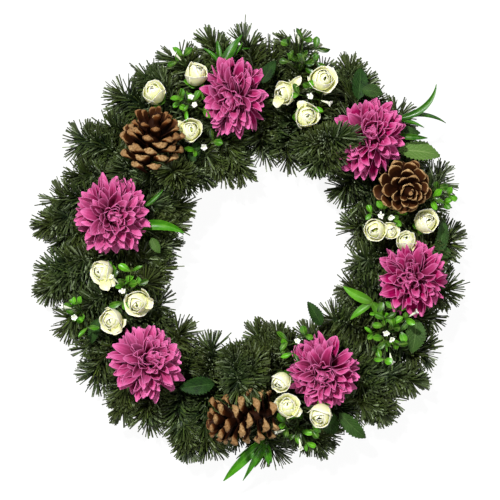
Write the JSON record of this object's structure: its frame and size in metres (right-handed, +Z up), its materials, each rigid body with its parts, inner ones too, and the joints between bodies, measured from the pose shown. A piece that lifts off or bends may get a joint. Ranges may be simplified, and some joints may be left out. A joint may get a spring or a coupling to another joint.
{
  "type": "artificial chrysanthemum wreath",
  "caption": "Ring of artificial fir wound on a wire frame, decorated with fabric chrysanthemums, cream buds, pine cones and small leaf sprays; lies flat or decorates a door or table.",
  "frame": {"origin": "on the surface the wreath lies on, under the middle of the whole object's box", "axes": "+Z up out of the wreath's front, along its axis; +Y towards the top of the wreath as it would hang; +X to the right seen from the front"},
  "size_m": [0.4056, 0.4228, 0.1095],
  "materials": {
    "frame_wire": "galvanised steel wire",
    "fir_needles": "cut PVC film, dark fir green",
    "chrysanthemum_fabric": "dyed woven polyester, magenta",
    "cone_scales": "natural pine cone scales",
    "ranunculus_fabric": "dyed woven polyester, cream",
    "box_leaves": "moulded polyethylene, bright green",
    "rose_leaves": "printed polyester leaf, dark green",
    "grass_blades": "moulded polyethylene, green"
  },
  "bodies": {
    "root": {"box_sprig_bottom": "box_leaves", "box_sprig_left": "box_leaves", "box_sprig_lower_right": "box_leaves", "box_sprig_right": "box_leaves", "box_sprig_top": "box_leaves", "box_sprig_upper_left": "box_leaves", "chrysanthemum_left": "chrysanthemum_fabric", "chrysanthemum_lower_left": "chrysanthemum_fabric", "chrysanthemum_lower_right": "chrysanthemum_fabric", "chrysanthemum_right": "chrysanthemum_fabric", "chrysanthemum_top": "chrysanthemum_fabric", "chrysanthemum_upper_right": "chrysanthemum_fabric", "fir_turn_01": "fir_needles", "fir_turn_02": "fir_needles", "fir_turn_03": "fir_needles", "fir_turn_04": "fir_needles", "fir_turn_05": "fir_needles", "fir_turn_06": "fir_needles", "fir_turn_07": "fir_needles", "fir_turn_08": "fir_needles", "fir_turn_09": "fir_needles", "fir_turn_10": "fir_needles", "fir_turn_11": "fir_needles", "fir_turn_12": "fir_needles", "fir_turn_13": "fir_needles", "fir_turn_14": "fir_needles", "fir_turn_15": "fir_needles", "fir_turn_16": "fir_needles", "fir_turn_17": "fir_needles", "fir_turn_18": "fir_needles", "fir_turn_19": "fir_needles", "fir_turn_20": "fir_needles", "grass_tuft_bottom": "grass_blades", "grass_tuft_lower_right": "grass_blades", "grass_tuft_top": "grass_blades", "grass_tuft_upper_right": "grass_blades", "pine_cone_bottom": "cone_scales", "pine_cone_right": "cone_scales", "pine_cone_upper_left": "cone_scales", "ranunculus_left_lower": "ranunculus_fabric", "ranunculus_left_middle": "ranunculus_fabric", "ranunculus_left_upper": "ranunculus_fabric", "ranunculus_lower_right_bottom": "ranunculus_fabric", "ranunculus_lower_right_left": "ranunculus_fabric", "ranunculus_lower_right_top": "ranunculus_fabric", "ranunculus_right_inner": "ranunculus_fabric", "ranunculus_right_middle": "ranunculus_fabric", "ranunculus_right_outer": "ranunculus_fabric", "ranunculus_top_inner": "ranunculus_fabric", "ranunculus_top_left": "ranunculus_fabric", "ranunculus_top_right": "ranunculus_fabric", "ranunculus_upper_left_inner": "ranunculus_fabric", "ranunculus_upper_left_outer": "ranunculus_fabric", "ranunculus_upper_left_top": "ranunculus_fabric", "rose_leaf_lower_left": "rose_leaves", "rose_leaf_lower_right": "rose_leaves", "rose_leaf_right": "rose_leaves", "rose_leaf_top_right": "rose_leaves", "rose_leaf_upper_right": "rose_leaves", "wire_ring_frame": "frame_wire"}
  },
  "joints": []
}
